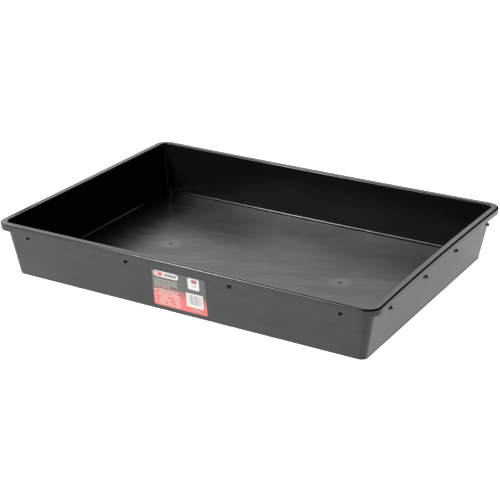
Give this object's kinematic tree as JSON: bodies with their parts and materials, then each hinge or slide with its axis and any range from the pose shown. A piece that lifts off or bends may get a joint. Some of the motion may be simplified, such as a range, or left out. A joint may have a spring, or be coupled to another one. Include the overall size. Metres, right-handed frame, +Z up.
{
  "type": "oil drain pan",
  "caption": "Shallow rectangular plastic tray with sloping walls, a turned-down rim and a printed label, for catching drained oil.",
  "frame": {"origin": "middle of the flat underside, where the tray stands on the floor", "axes": "+X along the long side, +Y from the labelled front wall towards the back, +Z up out of the tray's mouth"},
  "size_m": [0.6196, 0.4496, 0.0833],
  "materials": {
    "tray_plastic": "smooth black polypropylene with a satin sheen",
    "label_print": "printed red and grey, lightly glossy"
  },
  "bodies": {
    "root": {"tray": "tray_plastic", "label": "label_print"}
  },
  "joints": []
}
